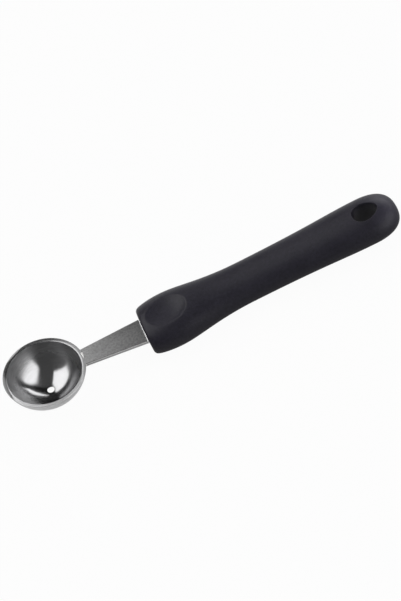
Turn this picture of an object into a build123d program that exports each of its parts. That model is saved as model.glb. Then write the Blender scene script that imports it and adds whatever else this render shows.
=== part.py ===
from build123d import *
import os
from math import asin, cos, degrees, radians, sin, sqrt

# Melon baller: a deep-drawn scoop welded to a stamped strip, whose tang is moulded into an oval handle.
# Lengths are millimetres and angles are degrees. The tool lies on its back, with the ground at z = 0.
# +X runs from the scoop to the handle's tail, +Z points up out of the scoop's mouth, and the origin is
# on the ground below the middle of the tool.

# How far every cut runs past the surface that it opens
cut_overrun = 2.0

# Scoop: a spherical cup, whose thick rim is ground to a shallow inner bevel
scoop_rim_radius = 15.0
scoop_depth = 12.0
scoop_wall = 1.4
scoop_rim_bevel_width = 1.2
scoop_rim_bevel_depth = 0.3
scoop_drain_radius = 1.25
scoop_tilt = 7.9

# Strip shank, with its tang inside the handle
strip_free_length = 22.9
strip_thickness = 1.4
strip_root_width = 7.3
strip_mouth_width = 10.8
strip_drop_below_rim = 0.1
strip_bend_radius = 12.0
tang_length = 46.0
tang_width = 7.0
tang_shoulder_depth = 1.6
tang_corner_radius = 2.0
tang_rise = 0.7
tang_lock_hole_radius = 2.0
tang_lock_hole_spacing = 18.0
tang_first_hole_depth = 14.0

# Weld between the strip and the scoop
weld_reach = 0.85
weld_height = 0.2
weld_side_margin = 0.35

# Moulded handle, oval all along
handle_length = 98.4
handle_width = 23.2
handle_height = 13.45
handle_ground_gap = 0.05
handle_mouth_radius = 0.9

# Thumb rest pressed into the front of the handle
thumb_ball_radius = 24.0
thumb_depth = 1.6
thumb_centre_from_mouth = 10.0
thumb_edge_radius = 0.5

# Hang hole, egg-shaped, with its narrow end towards the tail
hang_hole_wide_radius = 3.75
hang_hole_narrow_radius = 2.65
hang_hole_wide_from_tail = 11.75
hang_hole_narrow_from_tail = 9.0
hang_hole_lip_radius = 0.55

# The handle's side curve in four runs: mouth to swell, swell to waist, waist to tail, and the tail's dome.
# Each run has its two ends and the two points that draw it out, as shares of the length and the half width.
handle_run_shares = (
    ((0.0, 0.841), (0.010, 0.914), (0.050, 1.0), (0.101, 1.0)),
    ((0.101, 1.0), (0.180, 1.0), (0.247, 0.751), (0.404, 0.751)),
    ((0.404, 0.751), (0.707, 0.751), (0.746, 0.855), (0.879, 0.855)),
    ((0.879, 0.855), (1.0, 0.855), (1.0, 0.224), (1.0, 0.0)),
)

# Places worked out from the sizes
scoop_outer_radius = (scoop_rim_radius**2 + scoop_depth**2) / (2 * scoop_depth)
scoop_inner_radius = scoop_outer_radius - scoop_wall
scoop_ball_rise = scoop_outer_radius - scoop_depth
scoop_tilt_cos = cos(radians(scoop_tilt))
scoop_tilt_sin = sin(radians(scoop_tilt))
overall_length = 2 * scoop_rim_radius * scoop_tilt_cos + strip_free_length + handle_length
scoop_rim_x = scoop_rim_radius * scoop_tilt_cos - overall_length / 2
scoop_rim_z = scoop_outer_radius - scoop_ball_rise * scoop_tilt_cos
scoop_ball_centre = (scoop_rim_x + scoop_ball_rise * scoop_tilt_sin, 0, scoop_outer_radius)
scoop_normal = (scoop_tilt_sin, 0, scoop_tilt_cos)
scoop_radial = (scoop_tilt_cos, 0, -scoop_tilt_sin)

tail_x = overall_length / 2
mouth_x = tail_x - handle_length
handle_axis_z = handle_height / 2 + handle_ground_gap
thumb_ball_z = handle_axis_z + handle_height / 2 - thumb_depth + thumb_ball_radius

strip_root_x = scoop_rim_x + scoop_rim_radius * scoop_tilt_cos
strip_root_z = scoop_rim_z - scoop_rim_radius * scoop_tilt_sin - strip_drop_below_rim - strip_thickness / 2
tang_z = handle_axis_z + tang_rise
tang_end_x = mouth_x + tang_length
strip_slope = (tang_z - strip_root_z) / strip_free_length
strip_taper = (strip_mouth_width - strip_root_width) / strip_free_length
strip_inner_x = strip_root_x - scoop_wall - cut_overrun
strip_inner_z = strip_root_z - strip_slope * (strip_root_x - strip_inner_x)
strip_inner_width = strip_root_width - strip_taper * (strip_root_x - strip_inner_x)
strip_shoulder_width = strip_mouth_width + strip_taper * tang_shoulder_depth
lock_hole_places = [
    (mouth_x + tang_first_hole_depth, 0),
    (mouth_x + tang_first_hole_depth + tang_lock_hole_spacing, 0),
]

weld_level = -(strip_drop_below_rim + strip_thickness / 2) * scoop_tilt_cos
weld_wall_radius = sqrt(scoop_outer_radius**2 - (scoop_ball_rise - weld_level) ** 2)
weld_half_angle = degrees(asin((strip_root_width / 2 + weld_side_margin) / weld_wall_radius))

# Scoop bowl: the wall is turned about the scoop's own tilted axis, then the rim is ground and drilled
scoop_rim_plane = Plane(origin=(scoop_rim_x, 0, scoop_rim_z), x_dir=scoop_radial, z_dir=scoop_normal)
scoop_section_plane = Plane(origin=scoop_rim_plane.origin, x_dir=scoop_radial, z_dir=(0, -1, 0))
scoop_axis = Axis(scoop_rim_plane.origin, scoop_rim_plane.z_dir)
outer_rim_angle = degrees(asin(scoop_ball_rise / scoop_outer_radius))
inner_rim_angle = degrees(asin(scoop_ball_rise / scoop_inner_radius))

with BuildPart() as scoop_bowl:
    with BuildSketch(scoop_section_plane):
        with BuildLine():
            outside = CenterArc((0, scoop_ball_rise), scoop_outer_radius, -90, 90 - outer_rim_angle)
            inside = CenterArc((0, scoop_ball_rise), scoop_inner_radius, -90, 90 - inner_rim_angle)
            Line(outside @ 0, inside @ 0)
            Line(outside @ 1, inside @ 1)
        make_face()
    revolve(axis=scoop_axis)
    rim_land = scoop_bowl.faces().filter_by(GeomType.PLANE).sort_by(SortBy.AREA)[-1]
    inner_rim_edge = rim_land.edges().filter_by(GeomType.CIRCLE).sort_by(SortBy.RADIUS)[0]
    chamfer(inner_rim_edge, length=scoop_rim_bevel_width, length2=scoop_rim_bevel_depth, reference=rim_land)
    with Locations(scoop_rim_plane):
        Hole(radius=scoop_drain_radius)
scoop_bowl.part.label = "scoop_bowl"

# Shank: the side view of the bent strip, trimmed to its tapered plan and hollowed to seat on the scoop
with BuildPart() as shank:
    with BuildSketch(Plane.XZ):
        with BuildLine():
            FilletPolyline(
                (strip_inner_x, strip_inner_z),
                (mouth_x, tang_z),
                (tang_end_x, tang_z),
                radius=strip_bend_radius,
            )
        trace(line_width=strip_thickness)
    extrude(amount=strip_mouth_width, both=True)
    with BuildSketch(Plane.XY.offset(tang_z)) as strip_plan:
        with BuildLine():
            Polyline(
                (strip_inner_x, 0),
                (strip_inner_x, strip_inner_width / 2),
                (mouth_x + tang_shoulder_depth, strip_shoulder_width / 2),
                (mouth_x + 2 * tang_shoulder_depth, tang_width / 2),
                (tang_end_x, tang_width / 2),
                (tang_end_x, 0),
                close=True,
            )
        make_face()
        mirror(about=Plane.XZ)
        fillet(strip_plan.vertices().group_by(Axis.X)[-1], radius=tang_corner_radius)
        with Locations(*lock_hole_places):
            Circle(tang_lock_hole_radius, mode=Mode.SUBTRACT)
    extrude(amount=scoop_depth, both=True, mode=Mode.INTERSECT)
    with Locations(scoop_ball_centre):
        Sphere(scoop_outer_radius, mode=Mode.SUBTRACT)
shank.part.label = "shank"

# Weld: a bead turned about the scoop's axis, wrapped round the strip's end and lying on the scoop's wall
with BuildPart() as weld_bead:
    with BuildSketch(scoop_section_plane):
        with Locations((weld_wall_radius, weld_level)):
            Ellipse(weld_reach, strip_thickness / 2 + weld_height)
    revolve(axis=scoop_axis, revolution_arc=weld_half_angle)
    mirror(about=Plane.XZ)
    with Locations(scoop_ball_centre):
        Sphere(scoop_outer_radius, mode=Mode.SUBTRACT)
    add(shank.part, mode=Mode.SUBTRACT)
weld_bead.part.label = "weld_bead"

# Handle: its side curve turned round and flattened to an oval, then rounded at the mouth and cut to shape
handle_axis = Axis((0, 0, handle_axis_z), (1, 0, 0))

with BuildPart() as handle:
    with BuildSketch(Plane.XY.offset(handle_axis_z)):
        with BuildLine():
            for run_shares in handle_run_shares:
                run_points = [
                    (mouth_x + along * handle_length, out * handle_width / 2) for along, out in run_shares
                ]
                Bezier(*run_points)
            Polyline((tail_x, 0), (mouth_x, 0), (mouth_x, handle_run_shares[0][0][1] * handle_width / 2))
        make_face()
    revolve(axis=handle_axis)
    scale(by=(1, 1, handle_height / handle_width), about=handle_axis.position)
    fillet(handle.edges().group_by(Axis.X)[0], radius=handle_mouth_radius)
    with Locations((mouth_x + thumb_centre_from_mouth, 0, thumb_ball_z)):
        Sphere(thumb_ball_radius, mode=Mode.SUBTRACT)
    thumb_face = handle.faces().filter_by(GeomType.SPHERE)
    fillet(thumb_face.edges(), radius=thumb_edge_radius)
    with BuildSketch(Plane.XY.offset(-cut_overrun)):
        with Locations((tail_x - hang_hole_wide_from_tail, 0)):
            Circle(hang_hole_wide_radius)
        with Locations((tail_x - hang_hole_narrow_from_tail, 0)):
            Circle(hang_hole_narrow_radius)
        make_hull()
    extrude(amount=handle_axis_z + handle_height + cut_overrun, mode=Mode.SUBTRACT)
    hole_lips = handle.edges(Select.LAST).filter_by(GeomType.LINE, reverse=True)
    fillet(hole_lips, radius=hang_hole_lip_radius)
    add(shank.part, mode=Mode.SUBTRACT)
handle.part.label = "handle"

os.makedirs("parts", exist_ok=True)
for piece in (scoop_bowl, shank, weld_bead, handle):
    export_step(piece.part, f"parts/{piece.part.label}.step")
    print(piece.part.label, "volume", round(piece.part.volume, 1), "valid", piece.part.is_valid)
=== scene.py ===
import math

import bmesh
import bpy
from bpy.props import FloatProperty, FloatVectorProperty, IntProperty, PointerProperty
from mathutils import Matrix, Vector, geometry, noise


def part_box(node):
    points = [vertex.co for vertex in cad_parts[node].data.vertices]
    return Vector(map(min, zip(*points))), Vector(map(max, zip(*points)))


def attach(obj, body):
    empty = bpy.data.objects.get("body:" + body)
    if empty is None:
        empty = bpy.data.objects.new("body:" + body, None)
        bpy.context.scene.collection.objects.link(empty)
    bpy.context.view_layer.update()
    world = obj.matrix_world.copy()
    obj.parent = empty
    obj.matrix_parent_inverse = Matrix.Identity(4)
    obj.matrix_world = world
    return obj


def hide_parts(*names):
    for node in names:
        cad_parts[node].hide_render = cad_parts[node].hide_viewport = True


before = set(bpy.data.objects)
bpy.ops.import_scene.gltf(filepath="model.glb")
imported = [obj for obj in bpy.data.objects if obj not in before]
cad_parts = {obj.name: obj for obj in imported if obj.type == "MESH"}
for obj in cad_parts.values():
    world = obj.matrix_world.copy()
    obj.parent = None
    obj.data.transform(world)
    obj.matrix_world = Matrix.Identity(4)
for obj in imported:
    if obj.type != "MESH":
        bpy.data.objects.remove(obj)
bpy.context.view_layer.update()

bl_info = {
    "name": "Melon baller",
    "version": (1, 0, 0),
    "blender": (4, 5, 0),
    "location": "View3D > Sidebar > Baller",
    "description": "Builds a fruit baller: drawn steel scoop, strip shank, weld and moulded handle",
    "category": "Object",
}

# The tool's own places, read from the frame. Lengths are metres.
BODY = "root"
SCOOP_LOW, SCOOP_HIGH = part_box("scoop_bowl")
SHANK_LOW, SHANK_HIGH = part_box("shank")
HANDLE_LOW, HANDLE_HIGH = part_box("handle")
HANDLE_LENGTH = HANDLE_HIGH.x - HANDLE_LOW.x
HANDLE_HALF_WIDTH = (HANDLE_HIGH.y - HANDLE_LOW.y) / 2
MM = 0.001
# A distance so small that two points this close count as one
HAIR = MM / 1000
QUARTER_TURN = math.pi / 2
FULL_TURN = 2 * math.pi


# Sizes and colours that a user would change


def length_mm(name, description, millimetres):
    """A length, given in millimetres and held in metres."""
    return FloatProperty(name=name, description=description, default=millimetres * MM, unit="LENGTH")


def angle_degrees(name, description, degrees):
    return FloatProperty(name=name, description=description, default=math.radians(degrees), subtype="ANGLE")


def share_of(name, description, default):
    return FloatProperty(name=name, description=description, default=default, subtype="FACTOR")


def colour_of(name, description, default):
    return FloatVectorProperty(name=name, description=description, default=default, subtype="COLOR")


class ScoopSettings(bpy.types.PropertyGroup):
    """Sizes and finish of the drawn scoop"""

    rim_radius: length_mm("Rim radius", "Outer radius of the ground rim", 15)
    depth: length_mm("Depth", "From the rim's plane to the outside of the pole", 12)
    wall: length_mm("Wall", "Thickness of the drawn sheet", 1.4)
    bevel_width: length_mm("Bevel width", "Width of the bevel ground inside the rim", 1.3)
    bevel_depth: length_mm("Bevel depth", "Depth of the bevel on the side where it is deepest", 0.6)
    bevel_side: angle_degrees("Bevel side", "Direction from +X in which the bevel is deepest", -98)
    bevel_shallow: length_mm("Shallow bevel", "Depth of the bevel on the other side", 0.13)
    edge_break: length_mm("Edge break", "Rounding of the rim's outer corner", 0.08)
    drain_radius: length_mm("Drain radius", "Radius of the hole at the pole", 1.3)
    drain_flare: length_mm("Drain flare", "How much wider the punched hole breaks out below", 0.8)
    # This width is that of a painted shade: a dark ring drawn round the drain hole's edge
    drain_shade_ring: length_mm("Drain burr", "Width of the dull ring that the punch leaves round it", 0.32)
    tilt: angle_degrees("Tilt", "How far the mouth leans back to the handle", 7.9)
    colour: colour_of("Colour", "Colour of the polished steel inside", (0.35, 0.35, 0.355))
    ground_colour: colour_of("Ground colour", "Colour of the ground rim and the outside", (0.53, 0.53, 0.535))


class ShankSettings(bpy.types.PropertyGroup):
    """Sizes and finish of the strip and its tang"""

    thickness: length_mm("Thickness", "Thickness of the strip", 1.4)
    root_width: length_mm("Root width", "Width where the strip meets the scoop", 7.3)
    mouth_width: length_mm("Mouth width", "Width where the strip enters the handle", 10.8)
    drop: length_mm("Drop", "From the rim down to the strip's top face", 0.1)
    tang_rise: length_mm("Tang rise", "Height of the tang over the handle's axis", 0.7)
    tang_width: length_mm("Tang width", "Width of the tang", 7)
    shoulder: length_mm("Shoulder", "Depth of the strip's shoulder in the handle", 1.6)
    edge_break: length_mm("Edge break", "Rounding of the blanked edges", 0.16)
    # This line is a painted highlight: a bright band drawn across the strip beside the handle
    mouth_highlight_line: length_mm("Mouth line", "Width of the burnished line across beside the handle", 0.34)
    colour: colour_of("Colour", "Colour of the steel beside the weld", (0.178, 0.178, 0.178))
    # The mouth shade is painted shade: the strip's colour darkens towards the handle
    mouth_shade: share_of("Mouth shade", "Share of that colour left beside the handle", 0.62)
    # The edges' paler colour is partly their blanked finish and partly a painted highlight
    edge_colour: colour_of("Edge colour", "Colour of the blanked edges", (0.58, 0.58, 0.58))
    edge_torn_shade: share_of("Torn edge shade", "Share of that colour left on their torn line", 0.4)


class WeldSettings(bpy.types.PropertyGroup):
    """Sizes and finish of the weld"""

    reach: length_mm("Reach", "How far the bead stands off the scoop", 0.8)
    height: length_mm("Height", "How far the bead stands past the strip's faces", 0.16)
    lump: length_mm("Lump", "Depth of the bead's unevenness", 0.12)
    lump_spacing: length_mm("Lump spacing", "Distance between the bead's spots", 1.3)
    colour: colour_of("Colour", "Colour of the weld metal", (0.62, 0.61, 0.60))


class HandleSettings(bpy.types.PropertyGroup):
    """Sizes and finish of the moulded handle"""

    height: length_mm("Height", "Largest height of the oval", 13.45)
    mouth_radius: length_mm("Mouth radius", "Rounding round the front face", 1)
    mesh_step: length_mm("Mesh step", "Largest distance between rings", 0.5)
    mesh_fine_step: length_mm("Fine mesh step", "Distance between rings at the thumb rest", 0.26)
    turns: IntProperty(name="Turns", description="Faces round the oval", default=176)
    thumb_depth: length_mm("Thumb rest depth", "Depth under the top of the swell", 1.6)
    thumb_from_mouth: length_mm("Thumb rest place", "From the mouth to its middle", 10)
    thumb_half_length: length_mm("Thumb rest half length", "Half its length along the handle", 7.8)
    thumb_half_width: length_mm("Thumb rest half width", "Half its width across the handle", 5.9)
    thumb_lean: angle_degrees("Thumb rest lean", "How far its floor leans down to the tail", 3.5)
    thumb_soften: length_mm("Thumb rest edge", "How softly its edge turns over", 0.12)
    hole_wide_radius: length_mm("Hole wide radius", "Radius of the hole's wide end", 3.75)
    hole_narrow_radius: length_mm("Hole narrow radius", "Radius of the hole's narrow end", 2.65)
    hole_wide_from_tail: length_mm("Wide end place", "From the tail to the wide end's centre", 12.05)
    hole_narrow_from_tail: length_mm("Narrow end place", "From the tail to the narrow end's centre", 9)
    hole_lip: length_mm("Hole lip", "Rounding of the hole's edges", 0.35)
    colour: colour_of("Colour", "Colour of the plastic", (0.0146, 0.0136, 0.0200))


class StageSettings(bpy.types.PropertyGroup):
    """Floor, light and camera"""

    floor_colour: colour_of("Floor", "Colour of the floor", (0.55, 0.55, 0.55))
    floor_fade: share_of("Floor fade", "How far the floor's shadow fades into white", 0.96)
    floor_shine_fade: share_of("Reflected floor fade", "The same, for the floor that metal shows", 0.47)
    box_level: FloatProperty(name="Box level", description="Brightness of the soft boxes", default=2.4)
    card_level: FloatProperty(name="Far card level", description="Brightness of the low card", default=2.6)
    flag_level: share_of("Flag share", "Light that the black flag leaves of the ceiling", 0.22)
    horizon_level: FloatProperty(name="Horizon level", description="Brightness of the backdrop", default=0.9)
    horizon_top: angle_degrees("Horizon top", "Where the backdrop has faded out", 14)
    ceiling_level: FloatProperty(name="Ceiling level", description="Brightness of the ceiling", default=0.13)


# Mesh helpers


def share_between(value, low, high):
    """How far a value has come from low to high, held between 0 and 1."""
    return min(max((value - low) / (high - low), 0), 1)


def add_object(bm, name, material):
    """Turns a bmesh into an object with one material."""
    mesh = bpy.data.meshes.new(name)
    bm.to_mesh(mesh)
    bm.free()
    mesh.materials.append(material)
    made = bpy.data.objects.new(name, mesh)
    bpy.context.scene.collection.objects.link(made)
    return made


def sharp_edges(bm, angle):
    """The edges whose two faces turn by more than an angle."""
    return [edge for edge in bm.edges if len(edge.link_faces) == 2 and edge.calc_face_angle() > angle]


def finish_piece(bm, name, node, material, sharp=math.pi):
    """Makes a smooth piece that stands for a node and rides on the tool's one body."""
    bmesh.ops.recalc_face_normals(bm, faces=bm.faces[:])
    for edge in sharp_edges(bm, sharp):
        edge.smooth = False
    piece = add_object(bm, name, material)
    piece.data.shade_smooth()
    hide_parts(node)
    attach(piece, BODY)


def chain(bm, points):
    """Adds points to a bmesh and joins them in a line. Returns the vertices."""
    verts = [bm.verts.new(point) for point in points]
    for first, second in zip(verts, verts[1:]):
        bm.edges.new((first, second))
    return verts


def new_items(result, kind):
    """The vertices or the edges that an operator says it made."""
    return [item for item in result["geom"] if isinstance(item, kind)]


def arc(bm, start, angle, steps):
    """Turns a point about the Y axis through the origin, and returns the arc's vertices in order."""
    first = bm.verts.new(start)
    before = set(bm.verts)
    bmesh.ops.spin(
        bm, geom=[first], cent=(0, 0, 0), axis=(0, 1, 0), angle=angle, steps=steps, use_duplicate=False
    )
    return [first] + [vert for vert in bm.verts if vert not in before]


def turn_round(bm, axis, steps):
    """Turns everything once round an axis through the origin, and closes the seam and the poles."""
    bmesh.ops.spin(
        bm, geom=bm.verts[:] + bm.edges[:], cent=(0, 0, 0), axis=axis, angle=FULL_TURN, steps=steps,
        use_merge=True, use_duplicate=False,
    )
    bmesh.ops.remove_doubles(bm, verts=bm.verts[:], dist=HAIR)


# Scoop


def scoop_places(sizes):
    """The scoop's two ball radii, how far the rim lies under the ball's centre, and that centre."""
    outer = (sizes.rim_radius**2 + sizes.depth**2) / (2 * sizes.depth)
    rise = outer - sizes.depth
    lean = sizes.rim_radius * math.cos(sizes.tilt) + rise * math.sin(sizes.tilt)
    centre = Vector((SCOOP_LOW.x + lean, 0, SCOOP_LOW.z + outer))
    return outer, outer - sizes.wall, rise, centre


def scoop_matrix(sizes):
    """From the scoop's own axis to its place on the tool."""
    centre = scoop_places(sizes)[3]
    return Matrix.Translation(centre) @ Matrix.Rotation(sizes.tilt, 4, "Y")


def grind_rim(bm, sizes, inner, rise):
    """Shapes the rim's bevel: straight and deep on one side, shallow with a rounded foot on the other."""
    # Cosines of the turn from the deep side, where the bevel starts to deepen and where it is deepest
    turn_shallow, turn_deep = 0.17, 0.64
    rounded_foot_power = 5
    foot_level = -rise - sizes.bevel_depth
    foot = math.sqrt(inner**2 - foot_level**2)
    brink = math.sqrt(inner**2 - rise**2) + sizes.bevel_width
    for vert in bm.verts:
        out = math.hypot(vert.co.x, vert.co.y)
        if vert.co.z < foot_level - HAIR or out > brink + HAIR:
            continue
        turn = math.cos(math.atan2(vert.co.y, vert.co.x) - sizes.bevel_side)
        deep = share_between(turn, turn_shallow, turn_deep)
        deep = deep * deep * (3 - 2 * deep)
        depth = sizes.bevel_shallow + (sizes.bevel_depth - sizes.bevel_shallow) * deep
        power = rounded_foot_power + (1 - rounded_foot_power) * deep
        share = share_between(out, foot, brink)
        new_foot = math.sqrt(inner**2 - (rise + depth) ** 2)
        new_out = new_foot + (brink - new_foot) * share
        vert.co.x *= new_out / out
        vert.co.y *= new_out / out
        vert.co.z = -rise - depth * (1 - share) ** power


def make_scoop(sizes, material):
    """A section turned about the scoop's own axis, ground at its rim and tilted into place."""
    outer, inner, rise, _ = scoop_places(sizes)
    arc_steps, turn_steps, corner_steps, bevel_steps = 64, 224, 3, 12
    bm = bmesh.new()

    def wall(radius, hole, rim_gap):
        # From the drain hole's edge up to just under the rim
        start = math.asin(hole / radius)
        end = math.acos((rise + rim_gap) / radius)
        first = Vector((radius * math.sin(start), 0, -radius * math.cos(start)))
        return arc(bm, first, start - end, arc_steps)

    inside = wall(inner, sizes.drain_radius, sizes.bevel_depth)
    outside = wall(outer, sizes.drain_radius + sizes.drain_flare, sizes.edge_break)
    foot = inside[-1].co.copy()
    brink = Vector((math.sqrt(inner**2 - rise**2) + sizes.bevel_width, 0, -rise))
    bevel = [foot.lerp(brink, step / bevel_steps) for step in range(1, bevel_steps + 1)]
    land = chain(bm, bevel + [(sizes.rim_radius - sizes.edge_break, 0, -rise)])
    bm.edges.new((inside[-1], land[0]))
    bm.edges.new((land[-1], outside[-1]))
    bm.edges.new((inside[0], outside[0]))
    for corners in ([land[-1], outside[-1]], [inside[0], outside[0]]):
        bmesh.ops.bevel(
            bm, geom=corners, offset=sizes.edge_break / 2, affect="VERTICES", segments=corner_steps,
            profile=0.5, material=-1,
        )
    turn_round(bm, (0, 0, 1), turn_steps)
    grind_rim(bm, sizes, inner, rise)
    bmesh.ops.transform(bm, matrix=scoop_matrix(sizes), verts=bm.verts[:])
    finish_piece(bm, "scoop_drawn", "scoop_bowl", material, math.radians(28))


# Shank


def shank_run(scoop, sizes):
    """The strip as places from the scoop's wall to the tang's end: x, height of its middle, half width."""
    mouth_x = HANDLE_LOW.x
    rim_edge_x = SCOOP_HIGH.x
    _, _, rise, centre = scoop_places(scoop)
    rim_edge_z = centre.z - rise * math.cos(scoop.tilt) - scoop.rim_radius * math.sin(scoop.tilt)
    root_z = rim_edge_z - sizes.drop - sizes.thickness / 2
    tang_z = handle_axis_z(bpy.context.scene.baller_handle) + sizes.tang_rise
    slope = (tang_z - root_z) / (mouth_x - rim_edge_x)
    taper = (sizes.mouth_width - sizes.root_width) / (mouth_x - rim_edge_x) / 2
    # The strip first runs past the wall, and its end is dished back later
    inset = 1.5 * scoop.wall
    root = (rim_edge_x - inset, root_z - slope * inset, sizes.root_width / 2 - taper * inset)
    mouth = (mouth_x, tang_z, sizes.mouth_width / 2)
    shoulder = (mouth_x + sizes.shoulder, tang_z, sizes.mouth_width / 2 + taper * sizes.shoulder)
    neck = (mouth_x + 2 * sizes.shoulder, tang_z, sizes.tang_width / 2)
    end = (SHANK_HIGH.x, tang_z, sizes.tang_width / 2)
    return [root, mouth, shoulder, neck, end]


def make_shank(scoop, sizes, material):
    """A flat sheet drawn along the strip's run, thickened, and dished to seat on the scoop."""
    run = shank_run(scoop, sizes)
    outer, _, _, centre = scoop_places(scoop)
    corner_steps, root_cuts = 3, 12
    bm = bmesh.new()
    root_x, root_z, half = run[0]
    edges = [bm.edges.new((bm.verts.new((root_x, -half, root_z)), bm.verts.new((root_x, half, root_z))))]
    for x, z, half in run[1:]:
        edges = new_items(bmesh.ops.extrude_edge_only(bm, edges=edges), bmesh.types.BMEdge)
        for vert in {vert for edge in edges for vert in edge.verts}:
            vert.co = Vector((x, math.copysign(half, vert.co.y), z))
        edges = [e for e in edges if abs(e.verts[0].co.x - e.verts[1].co.x) < HAIR]
    root_edges = [e for e in bm.edges if all(v.co.x < root_x + HAIR for v in e.verts)]
    bmesh.ops.subdivide_edges(bm, edges=root_edges, cuts=root_cuts)
    bmesh.ops.recalc_face_normals(bm, faces=bm.faces[:])
    bmesh.ops.solidify(bm, geom=bm.faces[:], thickness=sizes.thickness)
    tang_low = min(vert.co.z for vert in bm.verts if vert.co.x > run[2][0])
    bmesh.ops.translate(bm, verts=bm.verts[:], vec=(0, 0, run[-1][1] - sizes.thickness / 2 - tang_low))
    # The strip's end is dished to lie just inside the scoop's wall
    seat = outer - scoop.wall / 5
    for vert in bm.verts:
        if vert.co.x < root_x + MM / 2:
            offset = vert.co - centre
            vert.co.x = centre.x + math.sqrt(seat**2 - offset.y**2 - offset.z**2)
    bmesh.ops.bevel(
        bm, geom=sharp_edges(bm, math.radians(40)), offset=sizes.edge_break, affect="EDGES",
        segments=corner_steps, profile=0.5, material=-1,
    )
    finish_piece(bm, "shank_strip", "shank", material, math.radians(35))


# Weld


def make_weld(scoop, shank, sizes, material):
    """A lumpy bead bent round the scoop's wall along the strip's end."""
    outer, _, rise, _ = scoop_places(scoop)
    around, along = 20, 72
    end_squareness = 0.6
    fine_spots = 3
    bm = bmesh.new()
    bmesh.ops.create_uvsphere(bm, u_segments=along, v_segments=around, radius=1)
    half_height = shank.thickness / 2 + sizes.height
    half_length = shank.root_width / 2 + sizes.height
    level = -rise - (shank.drop + shank.thickness / 2) * math.cos(scoop.tilt)
    wall_radius = math.sqrt(outer**2 - level**2)
    for vert in bm.verts:
        # A squared bead: full height along the strip's end, rounded at its two ends
        u, v, w = vert.co
        side = math.copysign(abs(v) ** end_squareness, v)
        bead = Vector((u * sizes.reach, side * half_length, w * half_height))
        spot = noise.noise(bead / sizes.lump_spacing)
        fine = noise.noise(bead / sizes.lump_spacing * fine_spots)
        bead += vert.co.normalized() * (spot + fine / fine_spots) * sizes.lump
        turn = bead.y / wall_radius
        radius = wall_radius + bead.x
        vert.co = Vector((radius * math.cos(turn), radius * math.sin(turn), level + bead.z))
    bmesh.ops.transform(bm, matrix=scoop_matrix(scoop), verts=bm.verts[:])
    finish_piece(bm, "weld_run", "weld_bead", material)


# Handle: the same side curve as the solid, in four runs of shares of the length and the half width

HANDLE_RUN_SHARES = (
    ((0.0, 0.841), (0.010, 0.914), (0.050, 1.0), (0.101, 1.0)),
    ((0.101, 1.0), (0.180, 1.0), (0.247, 0.751), (0.404, 0.751)),
    ((0.404, 0.751), (0.707, 0.751), (0.746, 0.855), (0.879, 0.855)),
    ((0.879, 0.855), (1.0, 0.855), (1.0, 0.224), (1.0, 0.0)),
)


def handle_axis_z(sizes):
    """Height of the handle's own axis: the solid's underside plus half the oval's height."""
    return HANDLE_LOW.z + sizes.height / 2


def flatness(sizes):
    """The oval's height as a share of its width."""
    return sizes.height / 2 / HANDLE_HALF_WIDTH


def handle_side_curve():
    """The side curve as close points, x and radius across, from the mouth to the tail."""
    points_in_run = 4000
    points = []
    for run in HANDLE_RUN_SHARES:
        ends = [Vector((HANDLE_LOW.x + x * HANDLE_LENGTH, out * HANDLE_HALF_WIDTH)) for x, out in run]
        points += geometry.interpolate_bezier(*ends, points_in_run)[:-1]
    return points + [Vector((HANDLE_HIGH.x, 0))]


def radius_at(curve, x):
    """Radius across of the side curve at a place, by halving the list of its close points."""
    low, high = 0, len(curve) - 1
    while high - low > 1:
        middle = (low + high) // 2
        if curve[middle].x <= x:
            low = middle
        else:
            high = middle
    a, b = curve[low], curve[high]
    share = 0 if b.x == a.x else share_between(x, a.x, b.x)
    return a.y + (b.y - a.y) * share


def top_height(sizes, curve, x, y):
    """How far the plain oval surface stands over the handle's axis."""
    return flatness(sizes) * math.sqrt(max(radius_at(curve, x) ** 2 - y**2, 0))


def spaced(curve, sizes):
    """Points of the side curve for the mesh, closer together as far as the thumb rest reaches."""
    fine_end = HANDLE_LOW.x + sizes.thumb_from_mouth + 1.2 * sizes.thumb_half_length
    first_x = HANDLE_LOW.x + 1.4 * sizes.mouth_radius
    kept = []
    for point in curve:
        if point.x < first_x:
            continue
        step = sizes.mesh_fine_step if point.x < fine_end else sizes.mesh_step
        if not kept or (point - kept[-1]).length >= step:
            kept.append(point)
    return kept


def in_egg(sizes, x, y, gap):
    """Whether a place lies in the hang hole's egg-shaped outline, grown by a gap on all sides."""
    wide, narrow = sizes.hole_wide_radius, sizes.hole_narrow_radius
    low_x = HANDLE_HIGH.x - sizes.hole_wide_from_tail - wide
    high_x = HANDLE_HIGH.x - sizes.hole_narrow_from_tail + narrow
    share = (x - (low_x + high_x) / 2) / ((high_x - low_x) / 2 + gap)
    if abs(share) >= 1:
        return False
    narrowing = (wide - narrow) / (wide + narrow)
    return abs(y) < (wide + gap) * math.sqrt(1 - share**2) * (1 - narrowing * share)


def egg_point(sizes, centre_x, angle, gap):
    """The point a gap outside the hang hole's outline, in a given direction from its middle."""
    halvings = 40
    low, high = 0.0, 3 * sizes.hole_wide_radius
    for _ in range(halvings):
        reach = (low + high) / 2
        x = centre_x + reach * math.cos(angle)
        y = reach * math.sin(angle)
        if in_egg(sizes, x, y, gap):
            low = reach
        else:
            high = reach
    return x, y


def soft_min(a, b, width):
    """The lesser of two heights, with the corner between them rounded over."""
    mix = max(width - abs(a - b), 0) / width
    return min(a, b) - mix * mix * width / 4


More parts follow.
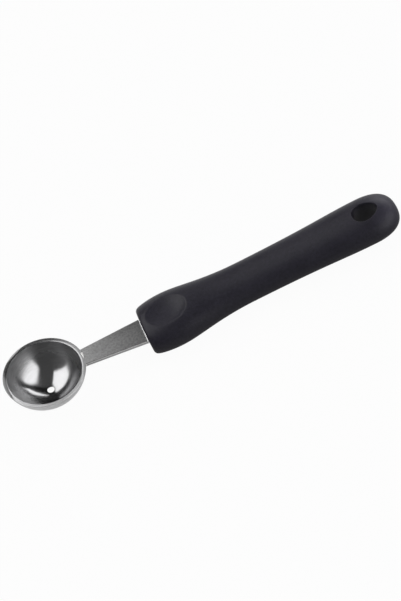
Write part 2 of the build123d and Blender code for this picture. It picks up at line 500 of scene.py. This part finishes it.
def press_thumb_rest(bm, sizes, curve, axis_z):
    """Lowers the top of the swell to an oval dish with a leaning floor and a steeper wall."""
    centre_x = HANDLE_LOW.x + sizes.thumb_from_mouth
    first_x = HANDLE_LOW.x + sizes.mouth_radius / 2
    floor = sizes.height / 2 - sizes.thumb_depth
    wall_power, reach = 2.6, 1.5
    for vert in bm.verts:
        dx, y = vert.co.x - centre_x, vert.co.y
        out = math.hypot(dx / sizes.thumb_half_length, y / sizes.thumb_half_width)
        if vert.co.z <= axis_z or out > reach or vert.co.x < first_x:
            continue
        scale = 1 / max(out, 1e-6)
        brink = top_height(sizes, curve, centre_x + dx * scale, y * scale)
        base = floor - dx * math.tan(sizes.thumb_lean)
        dish = base + (brink - base) * out**wall_power
        vert.co.z = axis_z + soft_min(vert.co.z - axis_z, dish, sizes.thumb_soften)


def extrude_ring(bm, edges, start, place, share):
    """Extrudes a ring of edges, and puts each new vertex by where its own line started, seen from above."""
    made = bmesh.ops.extrude_edge_only(bm, edges=edges)
    new_verts = set(new_items(made, bmesh.types.BMVert))
    moved = {}
    for vert in new_items(made, bmesh.types.BMVert):
        old = next(e.other_vert(vert) for e in vert.link_edges if e.other_vert(vert) not in new_verts)
        moved[vert] = start[old]
        vert.co = place(*start[old], share)
    ring = [e for e in new_items(made, bmesh.types.BMEdge) if all(v in new_verts for v in e.verts)]
    return ring, moved


def open_hang_hole(bm, sizes, curve, axis_z, side):
    """Cuts one side open round the hang hole and leads it in to the hole's wall, whose edges it returns."""
    middle_x = HANDLE_HIGH.x - (sizes.hole_wide_from_tail + sizes.hole_narrow_from_tail) / 2
    reach_x = sizes.hole_wide_radius * 1.75
    reach_turn = 0.62
    lead_rings, lip_rings = 9, 7
    doomed = []
    for face in bm.faces:
        spot = face.calc_center_median()
        turn = math.atan2(spot.y, side * (spot.z - axis_z) / flatness(sizes))
        if abs(spot.x - middle_x) < reach_x and abs(turn) < reach_turn:
            doomed.append(face)
    bmesh.ops.delete(bm, geom=doomed, context="FACES")
    edges = [e for e in bm.edges if e.is_boundary and side * (e.verts[0].co.z - axis_z) > 0]
    # Only this opening's own edges
    edges = [e for e in edges if abs(e.verts[0].co.x - middle_x) < 1.3 * reach_x]
    start = {vert: (vert.co.x, vert.co.y) for edge in edges for vert in edge.verts}

    def surface(x, y, drop):
        return Vector((x, y, axis_z + side * (top_height(sizes, curve, x, y) - drop)))

    def lead(x0, y0, share):
        x1, y1 = egg_point(sizes, middle_x, math.atan2(y0, x0 - middle_x), sizes.hole_lip)
        return surface(x0 + (x1 - x0) * share, y0 + (y1 - y0) * share, 0)

    def lip(x0, y0, share):
        turn = QUARTER_TURN * share
        gap = sizes.hole_lip * (1 - math.sin(turn))
        x, y = egg_point(sizes, middle_x, math.atan2(y0, x0 - middle_x), gap)
        return surface(x, y, sizes.hole_lip * (1 - math.cos(turn)))

    for place, rings in ((lead, lead_rings), (lip, lip_rings)):
        for ring in range(1, rings + 1):
            edges, start = extrude_ring(bm, edges, start, place, ring / rings)
    return edges


def open_tang_slot(bm, shank, axis_z):
    """Closes the front face round a slot for the tang, and sinks the slot a little past the tang's end."""
    rim = [e for e in bm.edges if e.is_boundary]
    gap = shank.edge_break / 8
    half_y, half_z = shank.mouth_width / 2 + gap, shank.thickness / 2 + gap
    slot_z = axis_z + shank.tang_rise
    corners = ((-half_y, -half_z), (half_y, -half_z), (half_y, half_z), (-half_y, half_z))
    slot = chain(bm, [(HANDLE_LOW.x, y, slot_z + z) for y, z in corners])
    closing = bm.edges.new((slot[-1], slot[0]))
    slot_edges = list(dict.fromkeys([closing] + [e for v in slot for e in v.link_edges]))
    bmesh.ops.triangle_fill(bm, edges=rim + slot_edges, use_beauty=True, normal=(-1, 0, 0))
    deep = new_items(bmesh.ops.extrude_edge_only(bm, edges=slot_edges), bmesh.types.BMVert)
    bmesh.ops.translate(bm, vec=(SHANK_HIGH.x - HANDLE_LOW.x + gap, 0, 0), verts=deep)
    bmesh.ops.contextual_create(bm, geom=deep)


def make_handle(sizes, shank, material):
    """The side curve turned round and flattened, with a thumb rest, a slot for the tang and a hang hole."""
    curve = handle_side_curve()
    axis_z = handle_axis_z(sizes)
    corner_steps = 8
    bm = bmesh.new()
    mouth = curve[0].y
    front = [(HANDLE_LOW.x, mouth - 2 * sizes.mouth_radius, 0), (HANDLE_LOW.x, mouth, 0)]
    profile = chain(bm, front + [(point.x, point.y, 0) for point in spaced(curve, sizes)])
    profile[-1].co = Vector((HANDLE_HIGH.x, 0, 0))
    bmesh.ops.bevel(
        bm, geom=[profile[1]], offset=sizes.mouth_radius, affect="VERTICES", segments=corner_steps,
        profile=0.5, material=-1,
    )
    turn_round(bm, (1, 0, 0), sizes.turns)
    bmesh.ops.scale(bm, vec=(1, 1, flatness(sizes)), verts=bm.verts[:])
    bmesh.ops.translate(bm, vec=(0, 0, axis_z), verts=bm.verts[:])
    press_thumb_rest(bm, sizes, curve, axis_z)
    open_tang_slot(bm, shank, axis_z)
    # The hang hole is opened from both sides, and its wall joins them
    openings = [open_hang_hole(bm, sizes, curve, axis_z, side) for side in (1, -1)]
    bmesh.ops.bridge_loops(bm, edges=openings[0] + openings[1])
    finish_piece(bm, "handle_moulded", "handle", material, math.radians(50))


# Node helpers


def add_node(tree, kind, inputs=None, **settings):
    """Adds a node, sets its own settings, and fills its inputs by name or number with values or links."""
    node = tree.nodes.new(kind)
    for name, value in settings.items():
        setattr(node, name, value)
    for key, value in (inputs or {}).items():
        socket = node.inputs[key]
        if isinstance(value, bpy.types.NodeSocket):
            tree.links.new(value, socket)
        else:
            socket.default_value = value
    return node


def calc(tree, operation, *values):
    """A Math node's result."""
    return add_node(tree, "ShaderNodeMath", dict(enumerate(values)), operation=operation).outputs[0]


def vector_calc(tree, operation, *values, result=0):
    """A Vector Math node's result."""
    node = add_node(tree, "ShaderNodeVectorMath", dict(enumerate(values)), operation=operation)
    return node.outputs[result]


def blend_colour(tree, factor, first, second):
    """Mix of two colours."""
    inputs = {0: factor, 6: first, 7: second}
    return add_node(tree, "ShaderNodeMix", inputs, data_type="RGBA").outputs[2]


def blend_value(tree, factor, first, second):
    """Mix of two values."""
    return add_node(tree, "ShaderNodeMix", {0: factor, 2: first, 3: second}).outputs[0]


def remap(tree, value, low, high, to_low=0.0, to_high=1.0, **settings):
    """A value moved from one range to another, held inside it."""
    inputs = {0: value, 1: low, 2: high, 3: to_low, 4: to_high}
    return add_node(tree, "ShaderNodeMapRange", inputs, **settings).outputs[0]


def spread(tree, value, to_low=0.0, to_high=1.0):
    """A noise's value, nearly always between 0.3 and 0.7, spread over a range."""
    return remap(tree, value, 0.3, 0.7, to_low, to_high)


def invert(tree, mask):
    return calc(tree, "SUBTRACT", 1.0, mask)


def weigh(tree, first, first_weight, second, second_weight):
    """Sum of two values, each times its own weight."""
    return calc(tree, "MULTIPLY_ADD", second, second_weight, calc(tree, "MULTIPLY", first, first_weight))


def split(tree, vector):
    return add_node(tree, "ShaderNodeSeparateXYZ", {0: vector}).outputs


def combine(tree, x, y, z):
    return add_node(tree, "ShaderNodeCombineXYZ", {0: x, 1: y, 2: z}).outputs[0]


def noise_value(tree, vector, scale, detail=3.0, roughness=0.6):
    inputs = {"Vector": vector, "Scale": scale, "Detail": detail, "Roughness": roughness}
    return add_node(tree, "ShaderNodeTexNoise", inputs).outputs["Fac"]


def rgba(colour, factor=1.0):
    return (colour[0] * factor, colour[1] * factor, colour[2] * factor, 1)


def shades(tree, factor, colour, first, second):
    """Mix of two shades of one colour, each given as a share of it."""
    return blend_colour(tree, factor, rgba(colour, first), rgba(colour, second))


def new_group(name, values, outputs):
    """A shader node group that takes a Vector and these values. Returns its tree and their sockets inside."""
    tree = bpy.data.node_groups.new(name, "ShaderNodeTree")
    tree.interface.new_socket(name="Vector", in_out="INPUT", socket_type="NodeSocketVector")
    for label, default in values.items():
        socket = tree.interface.new_socket(name=label, in_out="INPUT", socket_type="NodeSocketFloat")
        socket.default_value = default
    for label in outputs:
        tree.interface.new_socket(name=label, in_out="OUTPUT", socket_type="NodeSocketFloat")
    return tree, tree.nodes.new("NodeGroupInput").outputs


def close_group(tree, **values):
    node = tree.nodes.new("NodeGroupOutput")
    for name, socket in values.items():
        tree.links.new(socket, node.inputs[name.capitalize()])


def use_group(tree, group, inputs):
    return add_node(tree, "ShaderNodeGroup", inputs, node_tree=group).outputs


# At these radii, Lines and Length count per metre down the slope and round the axis
RING_SLOPE_RADIUS = 0.0154
RING_TURN_RADIUS = 0.015
# Broad bands in each radian of the slope
RING_BANDS = 34.0


def ring_grind_group():
    """Fine rings that run round an axis: hair lines of a turned or polished finish."""
    values = {"Lines": 9000.0, "Length": 220.0}
    tree, given = new_group("ring_grind", values, ["Height", "Patches", "Streaks"])
    x, y, z = split(tree, given["Vector"])
    flat = combine(tree, x, y, 0.0)
    from_axis = vector_calc(tree, "LENGTH", flat, result="Value")
    slope = calc(tree, "ARCTAN2", from_axis, calc(tree, "MULTIPLY", z, -1.0))
    lines = calc(tree, "MULTIPLY", slope, calc(tree, "MULTIPLY", given["Lines"], RING_SLOPE_RADIUS))
    around = vector_calc(tree, "NORMALIZE", flat)
    run = {0: around, "Scale": calc(tree, "MULTIPLY", given["Length"], RING_TURN_RADIUS)}
    run_x, run_y, _ = split(tree, add_node(tree, "ShaderNodeVectorMath", run, operation="SCALE").outputs[0])
    height = noise_value(tree, combine(tree, run_x, run_y, lines), 1.0)
    bands = calc(tree, "MULTIPLY", slope, RING_BANDS)
    streaks = noise_value(tree, combine(tree, run_x, run_y, bands), 1.0, roughness=0.65)
    patches = noise_value(tree, given["Vector"], 160.0, roughness=0.55)
    close_group(tree, height=height, patches=patches, streaks=streaks)
    return tree


def grain_group():
    """Fine even grain of a textured mould or a blasted face, with slow patches over it."""
    tree, given = new_group("fine_grain", {"Grain": 4200.0, "Patch": 90.0}, ["Height", "Patches"])
    pits = {"Vector": given["Vector"], "Scale": given["Grain"]}
    pits = add_node(tree, "ShaderNodeTexVoronoi", pits, feature="SMOOTH_F1").outputs["Distance"]
    dust = noise_value(tree, given["Vector"], given["Grain"], detail=2.0)
    patches = noise_value(tree, given["Vector"], given["Patch"], roughness=0.5)
    close_group(tree, height=weigh(tree, pits, 0.6, dust, 0.7), patches=patches)
    return tree


def clear_tree(owner):
    """Empties a material's or a world's node tree, and returns it."""
    owner.use_nodes = True
    owner.node_tree.nodes.clear()
    return owner.node_tree


def new_material(name):
    """A new material, its tree, its Principled shader and its Object coordinates."""
    material = bpy.data.materials.new(name)
    tree = clear_tree(material)
    shader = tree.nodes.new("ShaderNodeBsdfPrincipled")
    output = tree.nodes.new("ShaderNodeOutputMaterial")
    tree.links.new(shader.outputs[0], output.inputs["Surface"])
    place = tree.nodes.new("ShaderNodeTexCoord").outputs["Object"]
    return material, tree, shader, place


def finish_shader(tree, shader, colour, rough, height, metallic, strength, distance):
    """Feeds a shader its colour, its roughness and its bump, and sets how metallic it is all over."""
    inputs = {"Height": height, "Strength": strength, "Distance": distance}
    bump = add_node(tree, "ShaderNodeBump", inputs).outputs[0]
    for name, socket in {"Base Color": colour, "Roughness": rough, "Normal": bump}.items():
        tree.links.new(socket, shader.inputs[name])
    shader.inputs["Metallic"].default_value = metallic


# Materials

# Where the rim is ground coarser, so dull, and drawn paler as painted light: a direction in the scoop's own
# axes, the two shares of the rim's radius between which the change sets in in that direction, and how far it
# goes
RIM_GRIND_AND_LIGHT_SIDES = (
    # Near side: partly a coarser grind, partly painted light
    ((0.0, -1.0, 0.0), 0.3, 0.65, 1.0),
    # Handle side: painted light
    ((1.0, 0.0, 0.0), 0.45, 0.85, 0.5),
    # Far end: painted light
    ((-1.0, 0.0, 0.0), 0.86, 0.94, 0.4),
    # Painted highlight: a glint along the rim's outer edge
    ((-0.53, 0.85, 0.0), 0.95, 0.968, 0.75),
)
# The same for the scuffed side of the inside, with shares of the inner radius and added roughness
SCUFFED_SIDE = ((-0.75, -0.45, -0.48), 0.81, 0.93, 0.3)


def side_mask(tree, own, radius, side, start, end, strength):
    """Rises to a strength between two shares of a radius, in one direction."""
    out = vector_calc(tree, "DOT_PRODUCT", own, side, result="Value")
    return remap(tree, out, start * radius, end * radius, 0.0, strength)


def rim_grind_and_light_mask(tree, own, rim_radius):
    """How coarsely the rim is ground and how far it is drawn paler as painted light, from 0 to 1."""
    coarse_and_lit = None
    for side in RIM_GRIND_AND_LIGHT_SIDES:
        mask = side_mask(tree, own, rim_radius, *side)
        coarse_and_lit = mask if coarse_and_lit is None else calc(tree, "MAXIMUM", coarse_and_lit, mask)
    return coarse_and_lit


def scoop_masks(tree, own, sizes):
    """Masks of the scoop's outside, its rim, its drain hole with a painted shade ring round it, and the
    inside as it nears the rim.
    """
    outer, inner, rise, _ = scoop_places(sizes)
    skin = 0.06 * sizes.wall
    # Depths under the rim at which the polish starts to give way, and at which it has gone
    polished_depth, brushed_depth = 8.5 * MM, 2 * MM
    distance = vector_calc(tree, "LENGTH", own, result="Value")
    x, y, level = split(tree, own)
    from_axis = vector_calc(tree, "LENGTH", combine(tree, x, y, 0.0), result="Value")
    outside = remap(tree, distance, outer - 2 * skin, outer - skin)
    past_inside = remap(tree, distance, inner + skin / 3, inner + skin)
    low_down = remap(tree, level, -inner / 2, -inner / 2 - MM)
    rim = calc(tree, "MULTIPLY", past_inside, invert(tree, low_down))
    # Painted shade: a dark ring round the drain hole's edge, joined to the hole's own wall below
    brink = sizes.drain_radius + sizes.drain_shade_ring
    shade_ring = remap(tree, from_axis, brink - 0.6 * sizes.drain_shade_ring, brink, 1.0, 0.0)
    hole = calc(tree, "MULTIPLY", low_down, invert(tree, outside))
    drain = calc(tree, "MULTIPLY", hole, calc(tree, "MAXIMUM", past_inside, shade_ring))
    near_rim = remap(tree, level, -rise - polished_depth, -rise - brushed_depth)
    return outside, rim, drain, near_rim


def scoop_material(sizes, rings):
    """Steel polished inside and scuffed on one side, brushed in rings outside, with a ground rim."""
    material, tree, shader, place = new_material("scoop_steel")
    _, inner, _, centre = scoop_places(sizes)
    own = add_node(
        tree, "ShaderNodeMapping",
        {"Vector": place, "Location": centre, "Rotation": (0, sizes.tilt, 0)}, vector_type="TEXTURE",
    ).outputs[0]
    outside, rim, drain, near_rim = scoop_masks(tree, own, sizes)
    ground = calc(tree, "MAXIMUM", outside, rim)
    coarse_and_lit = rim_grind_and_light_mask(tree, own, sizes.rim_radius)
    scuff = side_mask(tree, own, inner, *SCUFFED_SIDE)
    got = use_group(tree, rings, {"Vector": own, "Lines": 7000.0, "Length": 200.0})
    shade = weigh(tree, spread(tree, got["Height"]), 0.4, spread(tree, got["Streaks"]), 0.6)
    deep = shades(tree, shade, sizes.colour, 0.95, 1.04)
    high = shades(tree, shade, sizes.colour, 0.5, 1.1)
    brushed = shades(tree, shade, sizes.ground_colour, 0.74, 1.26)
    # Painted shade: the rest of the rim is darkened to half the ground colour
    fine_shaded_rim = calc(tree, "MULTIPLY", rim, invert(tree, coarse_and_lit))
    brushed = blend_colour(tree, fine_shaded_rim, brushed, rgba(sizes.ground_colour, 0.5))
    steel = blend_colour(tree, ground, blend_colour(tree, near_rim, deep, high), brushed)
    # Painted shade: the drain hole's wall and the ring round it are darkened
    steel = blend_colour(tree, drain, steel, rgba(sizes.colour, 0.12))
    rough_inside, rough_rim, rough_outside = (0.10, 0.16), (0.25, 0.58), (0.22, 0.34)
    rough_brushed = 0.22
    dull = calc(tree, "MAXIMUM", calc(tree, "MULTIPLY", near_rim, rough_brushed), scuff)
    rough = calc(tree, "ADD", spread(tree, got["Patches"], *rough_inside), dull)
    rough = blend_value(tree, rim, rough, remap(tree, coarse_and_lit, 0.0, 1.0, *rough_rim))
    rough = blend_value(tree, outside, rough, remap(tree, shade, 0.0, 1.0, *rough_outside))
    line_share = remap(tree, near_rim, 0.0, 1.0, 0.10, 0.5)
    line_share = calc(tree, "MAXIMUM", line_share, calc(tree, "MULTIPLY", ground, 0.9))
    wave = noise_value(tree, own, 260.0, detail=2.0, roughness=0.5)
    height = weigh(tree, got["Height"], line_share, wave, 1.6)
    finish_shader(tree, shader, steel, rough, height, metallic=1.0, strength=0.35, distance=0.04 * MM)
    # The polishing rings spread each highlight along the scoop's own axis
    ring_anisotropy = 0.8
    axis = combine(tree, math.sin(sizes.tilt), 0.0, math.cos(sizes.tilt))
    tree.links.new(axis, shader.inputs["Tangent"])
    tree.links.new(remap(tree, ground, 0.0, 1.0, ring_anisotropy, 0.0), shader.inputs["Anisotropic"])
    return material


def shank_material(scoop, sizes, grain):
    """Satin strip, slightly mottled, with fine lines along it, darkened towards the handle as painted shade,
    paler edges with a torn middle that are partly a painted highlight, and a painted highlight line beside
    the handle.
    """
    material, tree, shader, place = new_material("strip_steel")
    got = use_group(tree, grain, {"Vector": place, "Grain": 3000.0, "Patch": 1300.0})
    stretched = {"Vector": place, "Scale": (500.0, 5200.0, 5200.0)}
    stretched = add_node(tree, "ShaderNodeMapping", stretched).outputs[0]
    lines = noise_value(tree, stretched, 1.0)
    x, y, z = split(tree, place)
    mottle = spread(tree, got["Patches"])
    # Painted shade: the strip's colour darkens from the weld to the handle
    weld_side = shades(tree, mottle, sizes.colour, 0.66, 1.3)
    shaded_mouth_side = shades(tree, mottle, rgba(sizes.colour, sizes.mouth_shade), 0.7, 1.3)
    along = remap(tree, x, SHANK_LOW.x, HANDLE_LOW.x)
    face = blend_colour(tree, along, weld_side, shaded_mouth_side)
    (root_x, root_z, _), (mouth_x, mouth_z, _) = shank_run(scoop, sizes)[:2]
    middle = remap(tree, x, root_x, mouth_x, root_z, mouth_z)
    torn_half_share = 0.16
    torn = calc(tree, "COMPARE", z, middle, torn_half_share * sizes.thickness)
    # Partly a painted highlight: the blanked edges are drawn paler than the faces
    cut = shades(tree, mottle, sizes.edge_colour, 0.85, 1.1)
    cut = blend_colour(tree, torn, cut, rgba(sizes.edge_colour, sizes.edge_torn_shade))
    half = remap(tree, x, SCOOP_HIGH.x, HANDLE_LOW.x, sizes.root_width / 2, sizes.mouth_width / 2)
    gap = calc(tree, "SUBTRACT", half, calc(tree, "ABSOLUTE", y))
    edge = remap(tree, gap, sizes.edge_break, sizes.edge_break / 2)
    # Painted highlight: a bright line across the strip just before the handle's face
    line = calc(tree, "COMPARE", x, HANDLE_LOW.x - sizes.mouth_highlight_line, sizes.mouth_highlight_line / 2)
    steel = blend_colour(tree, line, blend_colour(tree, edge, face, cut), rgba(sizes.edge_colour, 1.6))
    rough = calc(tree, "MULTIPLY_ADD", line, 0.3, spread(tree, got["Patches"], 0.30, 0.46))
    height = weigh(tree, got["Height"], 0.6, lines, 0.6)
    finish_shader(tree, shader, steel, rough, height, metallic=1.0, strength=0.4, distance=0.03 * MM)
    return material


def weld_material(sizes, grain):
    """Bright uneven weld metal."""
    material, tree, shader, place = new_material("weld_steel")
    got = use_group(tree, grain, {"Vector": place, "Grain": 1800.0, "Patch": 900.0})
    steel = shades(tree, remap(tree, got["Patches"], 0.35, 0.65), sizes.colour, 0.7, 1.15)
    rough = spread(tree, got["Patches"], 0.22, 0.38)
    finish_shader(tree, shader, steel, rough, got["Height"], metallic=1.0, strength=0.5, distance=0.08 * MM)
    return material


def handle_material(sizes, grain):
    """Matt black plastic with a fine moulded grain, smoother on top from wear, darker underneath as painted
    shade, and paler at the tail as a painted highlight.
    """
    material, tree, shader, place = new_material("handle_plastic")
    got = use_group(tree, grain, {"Vector": place, "Grain": 3600.0, "Patch": 110.0})
    mottle = spread(tree, noise_value(tree, place, 900.0))
    speck = weigh(tree, remap(tree, got["Height"], 0.35, 0.75), 0.5, mottle, 0.5)
    dark = shades(tree, speck, sizes.colour, 0.65, 1.45)
    light = shades(tree, speck, sizes.colour, 0.8, 1.6)
    # Painted shade: the underside's colour is darker than the top's
    under = shades(tree, speck, sizes.colour, 0.3, 0.75)
    top = blend_colour(tree, spread(tree, got["Patches"]), dark, light)
    x, _, z = split(tree, place)
    # Painted highlight: the top grows paler towards the tail
    tail_highlight_x = HANDLE_HIGH.x - 0.25 * sizes.height
    tail = remap(tree, x, tail_highlight_x - 0.6 * sizes.height, tail_highlight_x, 0.0, 0.4)
    top = blend_colour(tree, tail, top, rgba(sizes.colour, 3.2))
    axis_z = handle_axis_z(sizes)
    # Rises from the underside to the top: the top is smoother from wear, and the underside is darker as
    # painted shade
    worn_and_lit = remap(tree, z, axis_z - 0.1 * sizes.height, axis_z + 0.3 * sizes.height)
    plastic = blend_colour(tree, worn_and_lit, under, top)
    rough = remap(tree, got["Patches"], 0.25, 0.75, 0.55, 0.63)
    rough = calc(tree, "MULTIPLY_ADD", worn_and_lit, -0.23, rough)
    finish_shader(tree, shader, plastic, rough, got["Height"], metallic=0.0, strength=0.5, distance=0.06 * MM)
    shader.inputs["Specular IOR Level"].default_value = 0.22
    return material


# Stage

CAMERA_PLACE = Vector((16.73, -485.7, 607.06)) * MM
CAMERA_RIGHT = Vector((0.8937, -0.3355, -0.2979))
CAMERA_UP = Vector((0.4481, 0.7005, 0.5554))
CAMERA_BACK = Vector((0.0223, -0.6299, 0.7764))
FILM = 36.0
# The photo's frame, in its own pixels
FRAME_HEIGHT = 601
FOCAL_LENGTH = 2200
FRAMING_SHIFT = (0.5, -0.35)

FLOOR_RADIUS = 4.0


def make_camera():
    data = bpy.data.cameras.new("camera")
    data.sensor_width = FILM
    data.lens = FOCAL_LENGTH * FILM / FRAME_HEIGHT
    data.clip_start, data.clip_end = 0.01, 20
    data.shift_x, data.shift_y = (-shift / FRAME_HEIGHT for shift in FRAMING_SHIFT)
    camera = bpy.data.objects.new("camera", data)
    bpy.context.scene.collection.objects.link(camera)
    turn = Matrix((CAMERA_RIGHT, CAMERA_UP, CAMERA_BACK)).transposed().to_4x4()
    camera.matrix_world = Matrix.Translation(CAMERA_PLACE) @ turn
    bpy.context.scene.camera = camera


def make_floor(stage):
    """A wide pale disc. Cameras and metal see it faded to white, and its shadow stays."""
    material = bpy.data.materials.new("floor")
    tree = clear_tree(material)
    plain = add_node(tree, "ShaderNodeBsdfDiffuse", {"Color": rgba(stage.floor_colour)}).outputs[0]
    white = add_node(tree, "ShaderNodeEmission", {"Color": (1, 1, 1, 1), "Strength": 1.0}).outputs[0]
    path = tree.nodes.new("ShaderNodeLightPath").outputs
    shine = calc(tree, "MAXIMUM", path["Is Glossy Ray"], path["Is Transmission Ray"])
    shine = calc(tree, "MULTIPLY", shine, stage.floor_shine_fade)
    fade = calc(tree, "MAXIMUM", calc(tree, "MULTIPLY", path["Is Camera Ray"], stage.floor_fade), shine)
    mixed = add_node(tree, "ShaderNodeMixShader", {0: fade, 1: plain, 2: white}).outputs[0]
    output = tree.nodes.new("ShaderNodeOutputMaterial")
    tree.links.new(mixed, output.inputs["Surface"])
    bm = bmesh.new()
    bmesh.ops.create_circle(bm, cap_ends=True, segments=96, radius=FLOOR_RADIUS)
    floor = add_object(bm, "floor", material)


# Soft boxes and cards round the tool, by the directions of their corners in degrees: from +X to +Y, and up
BACK_LEFT_BOX = ((173, 31), (135, 27), (92, 34), (95, 70), (-153, 70))
FRONT_RIGHT_BOX = ((9, 25), (0, 13), (-35, 13), (-66, 13), (-69, 45), (-25, 59), (11, 50))
FAR_CARD = ((76, 32), (50, 35), (24, 25), (20, 12), (75, 8))
BLACK_FLAG = ((90, 25), (72, 33), (16, 15), (10, 24), (24, 50), (66, 61), (92, 60))


def direction_of(azimuth, elevation):
    turn, rise = math.radians(azimuth), math.radians(elevation)
    return Vector((math.cos(turn) * math.cos(rise), math.sin(turn) * math.cos(rise), math.sin(rise)))


def card_mask(tree, direction, corners, softness):
    """1 where a direction lies inside a flat card with these corners, and 0 outside, with soft edges."""
    points = [direction_of(*corner) for corner in corners]
    middle = sum(points, Vector()).normalized()
    mask = None
    for first, second in zip(points, points[1:] + points[:1]):
        side = first.cross(second).normalized()
        if side.dot(middle) < 0:
            side.negate()
        depth = vector_calc(tree, "DOT_PRODUCT", direction, side, result="Value")
        inside = remap(tree, depth, -softness, softness, interpolation_type="SMOOTHSTEP")
        mask = inside if mask is None else calc(tree, "MULTIPLY", mask, inside)
    return mask


def make_world(stage):
    """A dark ceiling over a pale backdrop, with two soft boxes, a low card and a black flag."""
    world = bpy.data.worlds.new("studio")
    bpy.context.scene.world = world
    tree = clear_tree(world)
    direction = tree.nodes.new("ShaderNodeTexCoord").outputs["Generated"]
    _, _, up = split(tree, direction)
    level = remap(tree, up, 0.0, math.sin(stage.horizon_top), stage.horizon_level, stage.ceiling_level)
    flag = card_mask(tree, direction, BLACK_FLAG, softness=0.05)
    level = calc(tree, "MULTIPLY", level, remap(tree, flag, 0.0, 1.0, 1.0, stage.flag_level))
    # Corners, how soft the edges are, and brightness
    cards = (
        (BACK_LEFT_BOX, 0.045, stage.box_level),
        (FRONT_RIGHT_BOX, 0.11, stage.box_level),
        (FAR_CARD, 0.02, stage.card_level),
    )
    for corners, softness, brightness in cards:
        card = card_mask(tree, direction, corners, softness)
        level = calc(tree, "MULTIPLY_ADD", card, brightness, level)
    # The camera sees a plain white backdrop
    path = tree.nodes.new("ShaderNodeLightPath").outputs
    level = blend_value(tree, path["Is Camera Ray"], level, 1.0)
    background = add_node(tree, "ShaderNodeBackground", {"Color": (1, 1, 1, 1), "Strength": level})
    output = tree.nodes.new("ShaderNodeOutputWorld")
    tree.links.new(background.outputs[0], output.inputs["Surface"])


# Operators


class BALLER_OT_scoop(bpy.types.Operator):
    """Builds the drawn scoop"""

    bl_idname = "baller.scoop"
    bl_label = "Build scoop"

    def execute(self, context):
        sizes = context.scene.baller_scoop
        rings = bpy.data.node_groups.get("ring_grind") or ring_grind_group()
        make_scoop(sizes, scoop_material(sizes, rings))
        return {"FINISHED"}


class BALLER_OT_shank(bpy.types.Operator):
    """Builds the strip and the weld that holds it"""

    bl_idname = "baller.shank"
    bl_label = "Build shank and weld"

    def execute(self, context):
        scene = context.scene
        grain = bpy.data.node_groups.get("fine_grain") or grain_group()
        steel = shank_material(scene.baller_scoop, scene.baller_shank, grain)
        make_shank(scene.baller_scoop, scene.baller_shank, steel)
        weld = weld_material(scene.baller_weld, grain)
        make_weld(scene.baller_scoop, scene.baller_shank, scene.baller_weld, weld)
        return {"FINISHED"}


class BALLER_OT_handle(bpy.types.Operator):
    """Builds the moulded handle"""

    bl_idname = "baller.handle"
    bl_label = "Build handle"

    def execute(self, context):
        scene = context.scene
        grain = bpy.data.node_groups.get("fine_grain") or grain_group()
        sizes = scene.baller_handle
        make_handle(sizes, scene.baller_shank, handle_material(sizes, grain))
        return {"FINISHED"}


class BALLER_OT_stage(bpy.types.Operator):
    """Builds the floor, the light and the camera"""

    bl_idname = "baller.stage"
    bl_label = "Build stage"

    def execute(self, context):
        stage = context.scene.baller_stage
        make_camera()
        make_floor(stage)
        make_world(stage)
        context.scene.view_settings.view_transform = "Standard"
        return {"FINISHED"}


class BALLER_PT_panel(bpy.types.Panel):
    """Sizes, colours and build steps of the tool"""

    bl_idname = "BALLER_PT_panel"
    bl_label = "Melon baller"
    bl_space_type = "VIEW_3D"
    bl_region_type = "UI"
    bl_category = "Baller"

    def draw(self, context):
        for operator, settings in STEPS:
            box = self.layout.box()
            for name in settings:
                group = getattr(context.scene, name)
                for prop in group.bl_rna.properties:
                    if prop.identifier not in {"rna_type", "name"}:
                        box.prop(group, prop.identifier)
            box.operator(operator.bl_idname)


# Each build step with the settings that it reads, by their names on the scene
STEPS = (
    (BALLER_OT_scoop, {"baller_scoop": ScoopSettings}),
    (BALLER_OT_shank, {"baller_shank": ShankSettings, "baller_weld": WeldSettings}),
    (BALLER_OT_handle, {"baller_handle": HandleSettings}),
    (BALLER_OT_stage, {"baller_stage": StageSettings}),
)


def register():
    for operator, settings in STEPS:
        for name, group in settings.items():
            bpy.utils.register_class(group)
            setattr(bpy.types.Scene, name, PointerProperty(type=group))
        bpy.utils.register_class(operator)
    bpy.utils.register_class(BALLER_PT_panel)


def unregister():
    bpy.utils.unregister_class(BALLER_PT_panel)
    for operator, settings in reversed(STEPS):
        bpy.utils.unregister_class(operator)
        for name, group in settings.items():
            delattr(bpy.types.Scene, name)
            bpy.utils.unregister_class(group)


def main():
    register()
    bpy.ops.baller.scoop()
    bpy.ops.baller.shank()
    bpy.ops.baller.handle()
    bpy.ops.baller.stage()


if __name__ == "__main__":
    main()
